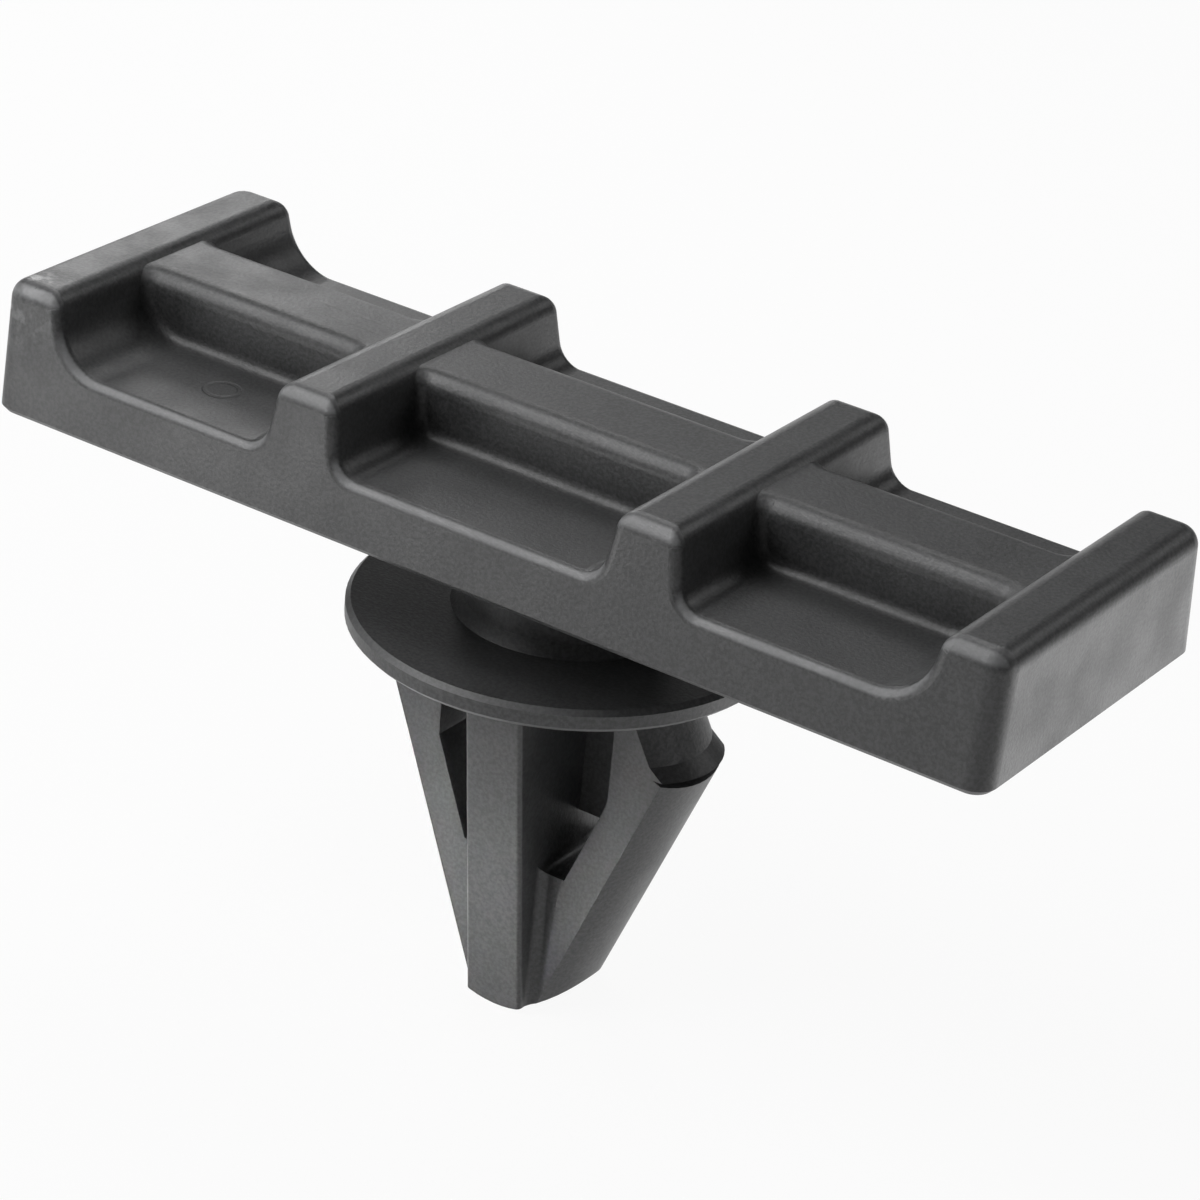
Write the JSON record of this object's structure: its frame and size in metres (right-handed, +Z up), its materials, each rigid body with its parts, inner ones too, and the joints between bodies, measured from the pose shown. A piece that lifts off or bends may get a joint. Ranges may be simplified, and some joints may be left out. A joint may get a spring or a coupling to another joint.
{
  "type": "rocker panel molding clip",
  "caption": "Moulded plastic clip: a long ribbed head slides into a rocker molding's track, and a flanged push-in stem with spring wings locks in a panel hole.",
  "frame": {"origin": "on the stem's axis at the underside of the round flange, where the clip seats on the panel", "axes": "+X along the ribbed head, +Y across it, +Z up from the panel to the head; the stem points along -Z"},
  "size_m": [0.05, 0.0188, 0.0283],
  "materials": {
    "clip_plastic": "fine satin, as moulded, dark charcoal"
  },
  "bodies": {
    "root": {"clip": "clip_plastic"}
  },
  "joints": []
}
